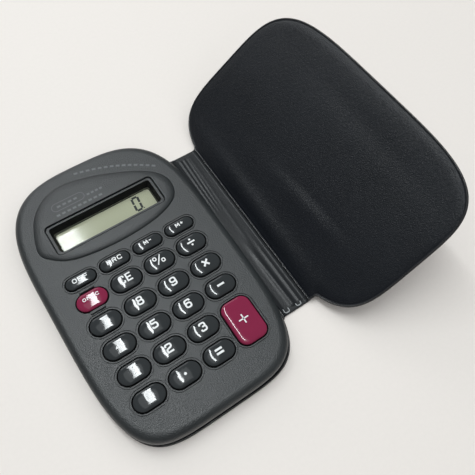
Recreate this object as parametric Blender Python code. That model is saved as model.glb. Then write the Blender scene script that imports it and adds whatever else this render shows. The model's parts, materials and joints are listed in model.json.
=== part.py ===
"""Folding pocket desk calculator: a keyed plastic case held in a two-leaf vinyl cover.

The calculator lies on its back with the cover open to its right. Metres, +Z up, +Y towards the
display, origin under the middle of the key field, on the surface that the back of the cover
rests on. Every value below is in millimetres and is scaled by MM when a mesh is made.
"""
import math

import bmesh
import bpy
import numpy as np
from mathutils import Matrix, Vector

MM = 0.001

# Case outline: a superellipse with one exponent above its widest line and another below it. Its
# borders are measured from the outer key columns, the lowest key row and the battery cell.
SIDE_BORDER = 15.1
BOTTOM_BORDER = 16.46
TOP_BORDER = 3.3
CASE_WAIST_Y = 9.5
OUTLINE_POWER_TOP = 3.2
OUTLINE_POWER_BOTTOM = 4.8
OUTLINE_POINTS = 64

# Case section.
CASE_WALL = 1.3
FRONT_PLATE = 1.3
BACK_FLOOR = 1.0
BOARD_TO_FLOOR = 0.3
PARTING_DEPTH = 4.4
PARTING_GAP = 0.1
EDGE_ROUND_IN = 3.0
EDGE_ROUND_DOWN = 2.4
BACK_EDGE_ROUND = 1.6

# Cover: three sheets that are welded round their rim, folded along two lines.
COVER_MARGIN = 0.7
COVER_SHIFT_X = 0.8
FLAP_HALF_WIDTH = 35.8
FLAP_HALF_LENGTH = 57.5
FLAP_POWER = 4.3
FLAP_SHIFT_Y = 1.1
FLAP_SKEW_ANGLE = 1.6
SKIN = 0.45
LINING = 0.35
BOARD = 0.5
SHEET_GAP = 0.1
BOARD_INSET = 4.0
PAD = 0.15
PAD_SIZE = (50.0, 80.0)
PAD_RADIUS = 3.0
SPINE_HALF_LENGTH = 40.7
SPINE_WIDTH = 10.2
SPINE_CASE_GAP = 0.3
FOLD_GAP_LEAF = 0.55
FOLD_GAP_BACK = 0.6
FOLD_GAP_EDGE = 0.3
FOLD_GAP_FLAP = 0.45
FLAP_REST_ANGLE = 35.3

# Keys.
KEY_PITCH_X = 13.6
KEY_PITCH_Y = 10.06
SMALL_ROW_Y = 8.83
KEY_SIZE = (11.3, 6.8)
SMALL_KEY_SIZE = (11.3, 4.65)
PLUS_KEY_RADIUS = 3.3
KEY_CLEARANCE = 0.35
KEY_FLANGE_OUT = 0.6
KEY_FLANGE = 0.7
KEY_SIDE = 0.45
KEY_CROWN = ((0.5, 0.4), (1.5, 0.7))
PLATE_TO_FLANGE = 0.3
KEY_TRAVEL = 0.8

# Guard ribs above and below the power key.
GUARD_SIZE = (5.7, 1.0, 0.9)
GUARD_OFFSET_Y = 4.45

# Display pod and its stepped opening; heights are above the front face.
POD_HEIGHT = 1.2
POD_ROUND = ((0.0, 0.0), (0.7, 0.6), (1.9, 1.0), (3.6, 1.2))
POD_OUTLINE = ((-28.6, 27.0), (-25.0, 38.6), (-18.7, 45.6), (-10.1, 48.6), (-0.3, 47.2),
               (10.1, 43.6), (19.9, 38.8), (26.1, 33.6), (28.1, 27.4), (25.9, 21.4),
               (19.3, 17.6), (10.3, 15.7), (-0.3, 15.1), (-11.3, 15.8), (-20.2, 17.8), (-26.0, 21.8))
DISPLAY_PLACE = (-0.4, 27.5)
LEDGE_HEIGHT = 0.6
LEDGE_SIZE = (45.1, 13.5)
LEDGE_RADIUS = 1.8
OPENING_SIZE = (42.2, 10.95)
OPENING_RADIUS = 1.2
OPENING_DRAFT = 0.8
OPENING_DEPTH = 2.7
OPENING_WALL = 1.2

# Display parts.
WINDOW_OVERLAP = 1.7
WINDOW_THICK = 0.5
GLASS_MARGIN = (3.8, 2.65)
GLASS_THICK = 0.45
CONTACT_LEDGE = 2.0
REFLECTOR_THICK = 0.12
ZEBRA_WIDTH = 1.4
ZEBRA_LENGTH = 42.0
STACK_GAP = 0.1
RIB_THICK = 1.0

# Circuit board, key mat and what is on the board.
PCB_THICK = 0.7
PCB_SIDE_MARGIN = 7.2
PCB_BOTTOM_MARGIN = 7.76
PCB_TOP_Y = 40.6
PCB_RADIUS = 8.0
MAT_THICK = 0.45
MAT_MARGIN = 0.3
DOME_HEIGHT = 0.6
DOME_RADII = (2.5, 1.6)
DOME_CLEARANCE = 0.25
STAKE_RADIUS = 0.9
STAKE_CLEARANCE = 0.25
STAKE_INSET = (2.0, 1.6)
STAKE_MIDDLE_Y = 16.2
CHIP_PLACE = (-6.0, -18.0)
CHIP_RADIUS = 4.0
CHIP_RISE = 0.22
CAPACITOR_PLACE = (20.0, 38.4)
CAPACITOR_SIZE = (3.2, 1.6, 1.2)

# Battery and its contacts.
CELL_X = 10.0
CELL_RADIUS = 5.8
CELL_HEIGHT = 3.05
CELL_RIM = 0.5
CELL_TO_BOARD = 0.4
CONTACT_THICK = 0.2
CONTACT_WIDTH = 4.0
CONTACT_GAP = 0.12
CONTACT_LAND = 2.4

# Case screws.
SCREW_INSET = 5.3
SCREW_LOW_Y = -33.0
SCREW_HIGH = (23.0, 43.0)
SCREW_HEAD_RADIUS = 1.8
SCREW_HEAD = 0.8
SCREW_RADIUS = 0.85
SCREW_REACH = 2.6
BOSS_RADIUS = 2.1
BACK_BOSS_RADIUS = 2.8
BORE_CLEARANCE = 0.2
CROSS_SIZE = (1.9, 0.5, 0.4)

# Sizes and places that follow from the ones above.
PLUS_KEY_SIZE = (KEY_SIZE[0], KEY_PITCH_Y + KEY_SIZE[1])
PLUS_KEY_Y = -3.5 * KEY_PITCH_Y
GLASS_SIZE = (OPENING_SIZE[0] + GLASS_MARGIN[0], OPENING_SIZE[1] + GLASS_MARGIN[1])
KEY_STACK = (FRONT_PLATE + PLATE_TO_FLANGE + KEY_FLANGE + KEY_TRAVEL + DOME_CLEARANCE + DOME_HEIGHT
             + MAT_THICK + STACK_GAP)
DISPLAY_STACK = OPENING_DEPTH + 4 * STACK_GAP + WINDOW_THICK + 2 * GLASS_THICK
BOARD_TOP_DEPTH = max(KEY_STACK, DISPLAY_STACK)
CASE_DEPTH = BOARD_TOP_DEPTH + PCB_THICK + BOARD_TO_FLOOR + BACK_FLOOR
CASE_HALF_WIDTH = 1.5 * KEY_PITCH_X + SIDE_BORDER
CASE_TOP_REACH = PCB_TOP_Y + 2 * CELL_RADIUS + TOP_BORDER - CASE_WAIST_Y
CASE_BOTTOM_REACH = CASE_WAIST_Y + 4 * KEY_PITCH_Y + BOTTOM_BORDER
PCB_HALF_WIDTH = 1.5 * KEY_PITCH_X + PCB_SIDE_MARGIN
PCB_BOTTOM_Y = -4 * KEY_PITCH_Y - PCB_BOTTOM_MARGIN
CELL_PLACE = (CELL_X, PCB_TOP_Y + CELL_TO_BOARD + CELL_RADIUS)
SCREWS = tuple((side * x, y) for x, y in ((CASE_HALF_WIDTH - SCREW_INSET, SCREW_LOW_Y), SCREW_HIGH)
               for side in (-1, 1))
STAKES = tuple((side * (PCB_HALF_WIDTH - STAKE_INSET[0]), y)
               for y in (STAKE_MIDDLE_Y, PCB_TOP_Y - STAKE_INSET[1]) for side in (-1, 1))
STAKES += tuple((side * KEY_PITCH_X, PCB_BOTTOM_Y + STAKE_INSET[1]) for side in (-1, 1))
COVER_STACK = SKIN + SHEET_GAP + BOARD + SHEET_GAP + LINING + SHEET_GAP + PAD + SHEET_GAP
FACE_Z = COVER_STACK + CASE_DEPTH
BACK_Z = COVER_STACK
PARTING_Z = FACE_Z - PARTING_DEPTH
FOLD_1_X = CASE_HALF_WIDTH + SPINE_CASE_GAP + (SKIN + SHEET_GAP + LINING) / 2
FOLD_1_Z = (SKIN + SHEET_GAP + LINING) / 2
FOLD_2_X = FOLD_1_X + SPINE_WIDTH
FLAP_THICK = SKIN + SHEET_GAP + BOARD + SHEET_GAP + LINING
FOLD_2_Z = FLAP_THICK / 2

SHELL_GREY = (0.132, 0.145, 0.150)
KEY_GREY = (0.060, 0.066, 0.070)
KEY_MAROON = (0.205, 0.022, 0.065)
VINYL_BLACK = (0.020, 0.022, 0.027)


def clear_scene():
    for item in list(bpy.data.objects):
        bpy.data.objects.remove(item, do_unlink=True)


def material(name, color, roughness=0.5, metallic=0.0):
    """One Principled material, made once for each name."""
    found = bpy.data.materials.get(name)
    if found:
        return found
    made = bpy.data.materials.new(name)
    made.use_nodes = True
    shader = made.node_tree.nodes["Principled BSDF"]
    shader.inputs["Base Color"].default_value = (*color, 1.0)
    shader.inputs["Roughness"].default_value = roughness
    shader.inputs["Metallic"].default_value = metallic
    return made


# ---------------------------------------------------------------- outlines

def even_points(path, count):
    """Points spaced evenly along a closed path."""
    loop = np.vstack([path, path[:1]])
    steps = np.concatenate([[0.0], np.cumsum(np.linalg.norm(np.diff(loop, axis=0), axis=1))])
    marks = np.linspace(0.0, steps[-1], count, endpoint=False)
    return np.stack([np.interp(marks, steps, loop[:, k]) for k in (0, 1)], axis=1)


def superellipse(half_width, reach, power, waist_y=0.0, count=OUTLINE_POINTS):
    """An even outline; reach and power each hold a value above and one below the waist."""
    angle = np.linspace(0.0, 2 * math.pi, 1440, endpoint=False)
    across, along = np.cos(angle), np.sin(angle)
    reach, power = (np.where(along > 0, *pair) for pair in (reach, power))
    size = (np.abs(across / half_width) ** power + np.abs(along / reach) ** power) ** (-1 / power)
    return even_points(np.stack([across * size, along * size + waist_y], axis=1), count)


def case_outline(margin):
    """The outline of the case, grown outwards by margin."""
    return superellipse(CASE_HALF_WIDTH + margin, (CASE_TOP_REACH + margin, CASE_BOTTOM_REACH + margin),
                        (OUTLINE_POWER_TOP, OUTLINE_POWER_BOTTOM), CASE_WAIST_Y)


def rounded(size, radius, center=(0.0, 0.0), steps=3):
    """A rounded rectangle; a radius of half its height makes it a stadium."""
    half_x, half_y = size[0] / 2, size[1] / 2
    radius = min(radius, half_x, half_y)
    points = []
    for turn, (sign_x, sign_y) in enumerate(((1, 1), (-1, 1), (-1, -1), (1, -1))):
        middle = (center[0] + sign_x * (half_x - radius), center[1] + sign_y * (half_y - radius))
        for step in range(steps + 1):
            angle = math.radians(90 * turn + 90 * step / steps)
            points.append((middle[0] + radius * math.cos(angle), middle[1] + radius * math.sin(angle)))
    return np.array(points)


def grown(points, amount):
    """A smooth outline moved outwards along its own normals."""
    ahead = np.roll(points, -1, axis=0) - np.roll(points, 1, axis=0)
    normal = np.stack([ahead[:, 1], -ahead[:, 0]], axis=1)
    normal /= np.linalg.norm(normal, axis=1)[:, None]
    return points + normal * amount


def smooth_loop(knots, count):
    """A closed Catmull-Rom curve through the knots, with evenly spaced points."""
    knots = np.array(knots)
    before, after, beyond = np.roll(knots, 1, 0), np.roll(knots, -1, 0), np.roll(knots, -2, 0)
    t = np.linspace(0, 1, 16, endpoint=False)[:, None, None]
    path = 0.5 * (2 * knots + (after - before) * t + (2 * before - 5 * knots + 4 * after - beyond) * t ** 2
                  + (3 * knots - before - 3 * after + beyond) * t ** 3)
    path = path.transpose(1, 0, 2).reshape(-1, 2)
    area = np.sum(path[:, 0] * np.roll(path[:, 1], -1) - np.roll(path[:, 0], -1) * path[:, 1])
    return even_points(path if area > 0 else path[::-1], count)


def circle(radius, center=(0.0, 0.0), count=24):
    angle = np.linspace(0.0, 2 * math.pi, count, endpoint=False)
    return np.stack([center[0] + radius * np.cos(angle), center[1] + radius * np.sin(angle)], axis=1)


# ---------------------------------------------------------------- solids

def loft(name, rings, look=None, origin=(0.0, 0.0, 0.0)):
    """A closed solid through rings of equal length, (outline, z), capped at both ends."""
    mesh = bpy.data.meshes.new(name)
    work = bmesh.new()
    start = Vector(origin)
    loops = [[work.verts.new((Vector((x, y, z)) - start) * MM) for x, y in outline] for outline, z in rings]
    for low, high in zip(loops, loops[1:]):
        for at in range(len(low)):
            ahead = (at + 1) % len(low)
            work.faces.new((low[at], low[ahead], high[ahead], high[at]))
    work.faces.new(list(reversed(loops[0])))
    work.faces.new(loops[-1])
    bmesh.ops.recalc_face_normals(work, faces=work.faces)
    work.to_mesh(mesh)
    work.free()
    made = bpy.data.objects.new(name, mesh)
    made.location = start * MM
    bpy.context.collection.objects.link(made)
    if look:
        mesh.materials.append(look)
    return made


def slab(name, outline, low, high, look=None, origin=(0.0, 0.0, 0.0)):
    return loft(name, [(outline, low), (outline, high)], look, origin)


def block(name, center, size, low, high, look=None):
    corners = [(center[0] + sx * size[0] / 2, center[1] + sy * size[1] / 2)
               for sx, sy in ((1, 1), (-1, 1), (-1, -1), (1, -1))]
    return slab(name, corners, low, high, look)


def boolean(target, tools, operation):
    """Joins or cuts with every tool at once, then drops the tools."""
    for tool in tools:
        bpy.context.view_layer.update()
        change = target.modifiers.new("change", "BOOLEAN")
        change.operation = operation
        change.solver = "EXACT"
        change.object = tool
        shaped = bpy.data.meshes.new_from_object(target.evaluated_get(bpy.context.evaluated_depsgraph_get()))
        target.modifiers.clear()
        target.data = shaped
        bpy.data.objects.remove(tool, do_unlink=True)


def join(tools):
    """One mesh from solids that stand apart, to cut with in one step."""
    work = bmesh.new()
    for tool in tools:
        part = tool.data.copy()
        part.transform(tool.matrix_basis)
        work.from_mesh(part)
    mesh = bpy.data.meshes.new("joined")
    work.to_mesh(mesh)
    work.free()
    for tool in tools:
        bpy.data.objects.remove(tool, do_unlink=True)
    made = bpy.data.objects.new("joined", mesh)
    bpy.context.collection.objects.link(made)
    return made


# ---------------------------------------------------------------- key field

def key_layout():
    """Every key as (name, place, size, corner radius, colour)."""
    rows = ((0.0, ("on_c", "ce", "percent", "divide")), (-1.0, ("7", "8", "9", "multiply")),
            (-2.0, ("4", "5", "6", "minus")), (-3.0, ("1", "2", "3")), (-4.0, ("0", "point", "equals")))
    keys = [(name, (column_x(column), SMALL_ROW_Y), SMALL_KEY_SIZE, SMALL_KEY_SIZE[1] / 2, KEY_GREY)
            for column, name in enumerate(("off", "mrc", "m_minus", "m_plus"))]
    for row, names in rows:
        for column, name in enumerate(names):
            color = KEY_MAROON if name == "on_c" else KEY_GREY
            keys.append((name, (column_x(column), row * KEY_PITCH_Y), KEY_SIZE, KEY_SIZE[1] / 2, color))
    keys.append(("plus", (column_x(3), PLUS_KEY_Y), PLUS_KEY_SIZE, PLUS_KEY_RADIUS, KEY_MAROON))
    return keys


def column_x(column):
    return (column - 1.5) * KEY_PITCH_X


def key_outline(place, size, radius, growth):
    return rounded((size[0] + 2 * growth, size[1] + 2 * growth), radius + growth, place)


def make_keys():
    flange_top = FACE_Z - FRONT_PLATE - PLATE_TO_FLANGE
    for name, place, size, radius, color in key_layout():
        cap = key_outline(place, size, radius, 0.0)
        flange = key_outline(place, size, radius, KEY_CLEARANCE + KEY_FLANGE_OUT)
        rings = [(flange, flange_top - KEY_FLANGE), (flange, flange_top), (cap, flange_top),
                 (cap, FACE_Z + KEY_SIDE)]
        rings += [(key_outline(place, size, radius, -inset), FACE_Z + KEY_SIDE + rise)
                  for inset, rise in KEY_CROWN]
        look = material("maroon_key" if color == KEY_MAROON else "grey_key", color, 0.3)
        loft("key_" + name, rings, look, (place[0], place[1], FACE_Z))


def make_key_mat():
    top = FACE_Z - BOARD_TOP_DEPTH + STACK_GAP + MAT_THICK
    low_y = min(place[1] - size[1] / 2 for _, place, size, _, _ in key_layout()) - KEY_FLANGE_OUT
    high_y = SMALL_ROW_Y + SMALL_KEY_SIZE[1] / 2 + KEY_FLANGE_OUT
    half = PCB_HALF_WIDTH - MAT_MARGIN
    sheet = rounded((2 * half, high_y - low_y), 2.0, (0.0, (low_y + high_y) / 2))
    mat = slab("key_mat", sheet, top - MAT_THICK, top, material("silicone", (0.45, 0.45, 0.43), 0.7))
    domes = []
    for _, place, _, _, _ in key_layout():
        outer, inner = (circle(radius, place, 10) for radius in DOME_RADII)
        domes.append(loft("dome", [(outer, top - MAT_THICK / 2), (outer, top), (inner, top + DOME_HEIGHT)]))
    boolean(mat, [join(domes)], "UNION")


# ---------------------------------------------------------------- case

def case_ring(inset, z):
    return case_outline(-inset), z


def edge_rings(inset, top, reach, drop, steps=4):
    """Rings round an elliptical edge, from the side wall up to the flat face."""
    rings = []
    for step in range(steps + 1):
        angle = math.pi / 2 * step / steps
        rings.append(case_ring(inset + reach * (1 - math.cos(angle)), top - drop * (1 - math.sin(angle))))
    return rings


def make_front_shell():
    look = material("shell_grey", SHELL_GREY, 0.55)
    inner = edge_rings(CASE_WALL, FACE_Z - FRONT_PLATE, EDGE_ROUND_IN - CASE_WALL,
                       EDGE_ROUND_DOWN - FRONT_PLATE, 2)
    low = PARTING_Z + PARTING_GAP
    rings = inner[::-1] + [case_ring(CASE_WALL, low), case_ring(0.0, low)]
    rings += edge_rings(0.0, FACE_Z, EDGE_ROUND_IN, EDGE_ROUND_DOWN)
    shell = loft("front_shell", rings, look)

    pod = smooth_loop(POD_OUTLINE, 48)
    dome = [(pod, FACE_Z - FRONT_PLATE / 2)]
    dome += [(grown(pod, -inset), FACE_Z + rise) for inset, rise in POD_ROUND]
    added = [loft("pod", dome)]
    floor_size = [side - 2 * OPENING_DRAFT for side in OPENING_SIZE]
    wall_size = [side + 2 * OPENING_WALL for side in floor_size]
    added.append(slab("opening_wall", rounded(wall_size, OPENING_RADIUS + 1.0, DISPLAY_PLACE),
                      FACE_Z - OPENING_DEPTH, FACE_Z - FRONT_PLATE / 2))
    power = column_x(0)
    for side in (1, -1):
        added.append(block("guard", (power, side * GUARD_OFFSET_Y), GUARD_SIZE, FACE_Z - FRONT_PLATE / 2,
                           FACE_Z + GUARD_SIZE[2]))
        added.append(block("glass_rib", (DISPLAY_PLACE[0] + side * (GLASS_SIZE[0] / 2 + STACK_GAP + RIB_THICK),
                                         DISPLAY_PLACE[1]),
                           (RIB_THICK, GLASS_SIZE[1]), FACE_Z - BOARD_TOP_DEPTH + 2 * STACK_GAP,
                           FACE_Z - FRONT_PLATE / 2))
    for place in STAKES:
        added.append(slab("stake", circle(STAKE_RADIUS, place, 10),
                          FACE_Z - BOARD_TOP_DEPTH - PCB_THICK - STACK_GAP, FACE_Z - FRONT_PLATE / 2))
    for place in SCREWS:
        added.append(slab("boss", circle(BOSS_RADIUS, place, 16), PARTING_Z - STACK_GAP / 2,
                          FACE_Z - FRONT_PLATE / 2))
    boolean(shell, added, "UNION")

    opening = [(rounded(floor_size, OPENING_RADIUS, DISPLAY_PLACE), FACE_Z - OPENING_DEPTH - 1.0),
               (rounded(floor_size, OPENING_RADIUS, DISPLAY_PLACE), FACE_Z - OPENING_DEPTH),
               (rounded(OPENING_SIZE, OPENING_RADIUS, DISPLAY_PLACE), FACE_Z + LEDGE_HEIGHT),
               (rounded(LEDGE_SIZE, LEDGE_RADIUS, DISPLAY_PLACE), FACE_Z + LEDGE_HEIGHT),
               (rounded(LEDGE_SIZE, LEDGE_RADIUS, DISPLAY_PLACE), FACE_Z + POD_HEIGHT + 2.0)]
    cutters = [loft("opening", opening)]
    for _, place, size, radius, _ in key_layout():
        cutters.append(slab("hole", key_outline(place, size, radius, KEY_CLEARANCE),
                            FACE_Z - FRONT_PLATE - 0.5, FACE_Z + 0.5))
    for place in SCREWS:
        cutters.append(slab("pilot", circle(SCREW_RADIUS + BORE_CLEARANCE, place, 12), PARTING_Z - 1.0,
                            FACE_Z - SCREW_REACH + BORE_CLEARANCE))
    boolean(shell, [join(cutters)], "DIFFERENCE")
    shell.data.materials.clear()
    shell.data.materials.append(look)


def make_back_shell():
    look = material("back_grey", SHELL_GREY, 0.6)
    top = PARTING_Z
    floor = BACK_Z + BACK_FLOOR
    rings = [case_ring(CASE_WALL + BACK_EDGE_ROUND / 2, floor), case_ring(CASE_WALL, floor + BACK_EDGE_ROUND / 2),
             case_ring(CASE_WALL, top), case_ring(0.0, top), case_ring(0.0, BACK_Z + BACK_EDGE_ROUND),
             case_ring(BACK_EDGE_ROUND * 0.3, BACK_Z + BACK_EDGE_ROUND * 0.3), case_ring(BACK_EDGE_ROUND, BACK_Z)]
    shell = loft("back_shell", rings, look)
    bosses = [slab("boss", circle(BACK_BOSS_RADIUS, place, 16), BACK_Z + BACK_FLOOR / 2,
                   PARTING_Z - 2 * STACK_GAP) for place in SCREWS]
    boolean(shell, bosses, "UNION")
    cutters = []
    for place in SCREWS:
        head = circle(SCREW_HEAD_RADIUS + BORE_CLEARANCE, place, 16)
        shaft = circle(SCREW_RADIUS + BORE_CLEARANCE, place, 16)
        seat = BACK_Z + SCREW_HEAD + 2 * BORE_CLEARANCE
        cutters.append(loft("bore", [(head, BACK_Z - 1.0), (head, seat), (shaft, seat), (shaft, PARTING_Z + 1.0)]))
    boolean(shell, [join(cutters)], "DIFFERENCE")
    shell.data.materials.clear()
    shell.data.materials.append(look)


def make_screws():
    look = material("steel", (0.50, 0.50, 0.50), 0.3, 1.0)
    seat = BACK_Z + SCREW_HEAD + BORE_CLEARANCE
    for number, place in enumerate(SCREWS, 1):
        head, shaft = circle(SCREW_HEAD_RADIUS, place, 16), circle(SCREW_RADIUS, place, 16)
        tip = circle(SCREW_RADIUS * 0.5, place, 16)
        end = FACE_Z - SCREW_REACH
        screw = loft("case_screw_%d" % number,
                     [(head, seat - SCREW_HEAD), (head, seat), (shaft, seat), (shaft, end - 0.6), (tip, end)], look)
        length, width, depth = CROSS_SIZE
        low = seat - SCREW_HEAD - 1.0
        cuts = [block("slot", place, (length, width), low, low + 1.0 + depth),
                block("slot", place, (width, length), low, low + 1.0 + depth)]
        boolean(screw, cuts, "DIFFERENCE")


# ---------------------------------------------------------------- display and electronics

def make_display():
    top = FACE_Z - OPENING_DEPTH - STACK_GAP
    size = [side - 2 * OPENING_DRAFT + 2 * WINDOW_OVERLAP for side in OPENING_SIZE]
    slab("display_window", rounded(size, 1.0, DISPLAY_PLACE), top - WINDOW_THICK, top,
         material("clear_acrylic", (0.85, 0.88, 0.88), 0.08))
    front_top = top - WINDOW_THICK - STACK_GAP
    ledge_y = DISPLAY_PLACE[1] + GLASS_SIZE[1] / 2
    front = block("lcd_glass", (DISPLAY_PLACE[0], DISPLAY_PLACE[1] + CONTACT_LEDGE / 2),
                  (GLASS_SIZE[0], GLASS_SIZE[1] + CONTACT_LEDGE), front_top - GLASS_THICK, front_top,
                  material("lcd_glass", (0.42, 0.45, 0.34), 0.12))
    rear = block("rear", DISPLAY_PLACE, GLASS_SIZE, front_top - 2 * GLASS_THICK, front_top - GLASS_THICK / 2)
    boolean(front, [rear], "UNION")
    bottom = front_top - 2 * GLASS_THICK
    slab("lcd_reflector", rounded((GLASS_SIZE[0] - 1.0, GLASS_SIZE[1] - 1.0), 0.5, DISPLAY_PLACE, 1),
         bottom - STACK_GAP / 2 - REFLECTOR_THICK, bottom - STACK_GAP / 2,
         material("reflector", (0.60, 0.62, 0.55), 0.35))
    block("zebra_connector", (DISPLAY_PLACE[0], ledge_y + CONTACT_LEDGE / 2 + STACK_GAP / 2), (ZEBRA_LENGTH, ZEBRA_WIDTH),
          FACE_Z - BOARD_TOP_DEPTH + STACK_GAP, front_top - GLASS_THICK - STACK_GAP,
          material("zebra", (0.10, 0.10, 0.11), 0.6))


def make_circuit_board():
    top = FACE_Z - BOARD_TOP_DEPTH
    size = (2 * PCB_HALF_WIDTH, PCB_TOP_Y - PCB_BOTTOM_Y)
    center = (0.0, (PCB_TOP_Y + PCB_BOTTOM_Y) / 2)
    board = slab("circuit_board", rounded(size, PCB_RADIUS, center, 4), top - PCB_THICK, top,
                 material("pcb_green", (0.03, 0.16, 0.07), 0.4))
    holes = [slab("hole", circle(STAKE_RADIUS + STAKE_CLEARANCE, place, 10), top - 3.0, top + 1.0)
             for place in STAKES]
    holes += [slab("boss_notch", circle(BACK_BOSS_RADIUS + STAKE_CLEARANCE, place, 16), top - 3.0, top + 1.0)
              for place in SCREWS]
    boolean(board, [join(holes)], "DIFFERENCE")
    under = top - PCB_THICK - STACK_GAP / 2
    loft("controller_chip", [(circle(CHIP_RADIUS * 0.75, CHIP_PLACE, 16), under - CHIP_RISE),
                             (circle(CHIP_RADIUS, CHIP_PLACE, 16), under)],
         material("epoxy", (0.02, 0.02, 0.02), 0.35))
    block("capacitor", CAPACITOR_PLACE, CAPACITOR_SIZE, top + STACK_GAP / 2,
          top + STACK_GAP / 2 + CAPACITOR_SIZE[2], material("ceramic", (0.45, 0.30, 0.18), 0.5))


def make_battery():
    steel = material("cell_steel", (0.62, 0.62, 0.60), 0.25, 1.0)
    contact = material("contact_steel", (0.55, 0.54, 0.50), 0.3, 1.0)
    floor = BACK_Z + BACK_FLOOR
    low = floor + CONTACT_GAP / 2 + CONTACT_THICK + CONTACT_GAP
    top = low + CELL_HEIGHT
    loft("battery", [(circle(CELL_RADIUS - CELL_RIM, CELL_PLACE), low),
                     (circle(CELL_RADIUS, CELL_PLACE), low + CELL_RIM), (circle(CELL_RADIUS, CELL_PLACE), top)],
         steel)
    reach = CELL_PLACE[1] + CELL_RADIUS / 2
    start = PCB_TOP_Y - 2 * CONTACT_LAND
    block("battery_contact_negative", (CELL_PLACE[0], (reach + start) / 2), (CONTACT_WIDTH, reach - start),
          floor + CONTACT_GAP / 2, floor + CONTACT_GAP / 2 + CONTACT_THICK, contact)
    land_low = FACE_Z - BOARD_TOP_DEPTH + STACK_GAP / 2
    side_x = CELL_PLACE[0] - CELL_RADIUS - CONTACT_GAP - CONTACT_THICK / 2
    start = PCB_TOP_Y - CONTACT_LAND
    blade = block("battery_contact_positive", (side_x, (reach + start) / 2), (CONTACT_THICK, reach - start),
                  land_low, top, contact)
    land = block("land", (side_x - CONTACT_LAND / 2, start + CONTACT_LAND / 2),
                 (CONTACT_LAND + CONTACT_THICK, CONTACT_LAND), land_low, land_low + CONTACT_THICK)
    boolean(blade, [land], "UNION")


# ---------------------------------------------------------------- cover

def cut_for_spine(outline, edge, half_span):
    """A cover leaf's outline, whose +X side is made straight where the spine joins it."""
    beside = (outline[:, 0] > 0) & (np.abs(outline[:, 1]) < half_span)
    kept = outline[~beside]
    return np.vstack([kept, [(edge, -half_span), (edge, half_span)]])


def back_outline(inset):
    outline = case_outline(COVER_MARGIN - inset) + (COVER_SHIFT_X, 0.0)
    return cut_for_spine(outline, FOLD_1_X - FOLD_GAP_LEAF - inset, SPINE_HALF_LENGTH - inset)


def flap_outline(inset):
    """The flap laid flat, its fold along +X = 0 of the leaf and turned over to point along +X."""
    reach = FLAP_HALF_LENGTH - inset
    outline = superellipse(FLAP_HALF_WIDTH - inset, (reach, reach), (FLAP_POWER, FLAP_POWER))
    skew = math.radians(FLAP_SKEW_ANGLE)
    across, along = outline[:, 0] - FLAP_HALF_WIDTH, outline[:, 1]
    turned = np.stack([across * math.cos(skew) + along * math.sin(skew),
                       along * math.cos(skew) - across * math.sin(skew) + FLAP_SHIFT_Y], axis=1)
    turned[:, 0] += FLAP_HALF_WIDTH
    leaf = cut_for_spine(turned, FLAP_HALF_WIDTH - inset, SPINE_HALF_LENGTH - inset)
    return np.stack([FOLD_2_X + FOLD_GAP_FLAP + FLAP_HALF_WIDTH - leaf[:, 0], leaf[:, 1]], axis=1)


def make_sheets(prefix, outline_of, sheets, place):
    for name, inset, low, high, look in sheets:
        made = slab(prefix + name, outline_of(inset), low, high, look)
        made.data.transform(Matrix.Translation(-Vector(place["shift"]) * MM))
        made.data.transform(place["turn"])
        made.location = Vector(place["axis"]) * MM


def make_cover():
    vinyl = material("black_vinyl", VINYL_BLACK, 0.45)
    inner = material("grained_vinyl", VINYL_BLACK, 0.6)
    card = material("grey_board", (0.30, 0.28, 0.25), 0.9)
    board_low = SKIN + SHEET_GAP
    lining_low = board_low + BOARD + SHEET_GAP
    leaf = (("_skin", 0.0, 0.0, SKIN, vinyl), ("_board", BOARD_INSET, board_low, board_low + BOARD, card),
            ("_lining", 0.0, lining_low, lining_low + LINING, inner))
    still = Matrix.Identity(4)
    make_sheets("cover_back", back_outline, leaf,
                {"shift": (0.0, 0.0, 0.0), "turn": still, "axis": (0.0, 0.0, 0.0)})

    spine = ((FOLD_1_X + FOLD_GAP_BACK, -SPINE_HALF_LENGTH), (FOLD_2_X - FOLD_GAP_EDGE, -SPINE_HALF_LENGTH),
             (FOLD_2_X - FOLD_GAP_EDGE, SPINE_HALF_LENGTH), (FOLD_1_X + FOLD_GAP_BACK, SPINE_HALF_LENGTH))
    hinge = (FOLD_1_X, 0.0, FOLD_1_Z)
    slab("cover_spine_skin", spine, 0.0, SKIN, vinyl, hinge)
    slab("cover_spine_lining", spine, SKIN + SHEET_GAP, SKIN + SHEET_GAP + LINING, inner, hinge)

    make_sheets("cover_flap", flap_outline, leaf,
                {"shift": (FOLD_2_X, 0.0, FOLD_2_Z), "turn": Matrix.Rotation(-math.radians(FLAP_REST_ANGLE), 4, "Y"),
                 "axis": (FOLD_2_X, 0.0, FOLD_2_Z)})
    pad_low = lining_low + LINING + SHEET_GAP
    slab("adhesive_pad", rounded(PAD_SIZE, PAD_RADIUS), pad_low, pad_low + PAD,
         material("adhesive", (0.55, 0.52, 0.45), 0.8))


clear_scene()
make_back_shell()
make_front_shell()
make_keys()
make_key_mat()
make_circuit_board()
make_display()
make_battery()
make_screws()
make_cover()
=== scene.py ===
"""Looks of the folding pocket desk calculator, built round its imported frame.

Outlines and heights are in millimetres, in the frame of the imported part, and are scaled by MM when
a mesh is made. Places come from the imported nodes' own boxes.
"""
import json
import math

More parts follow.
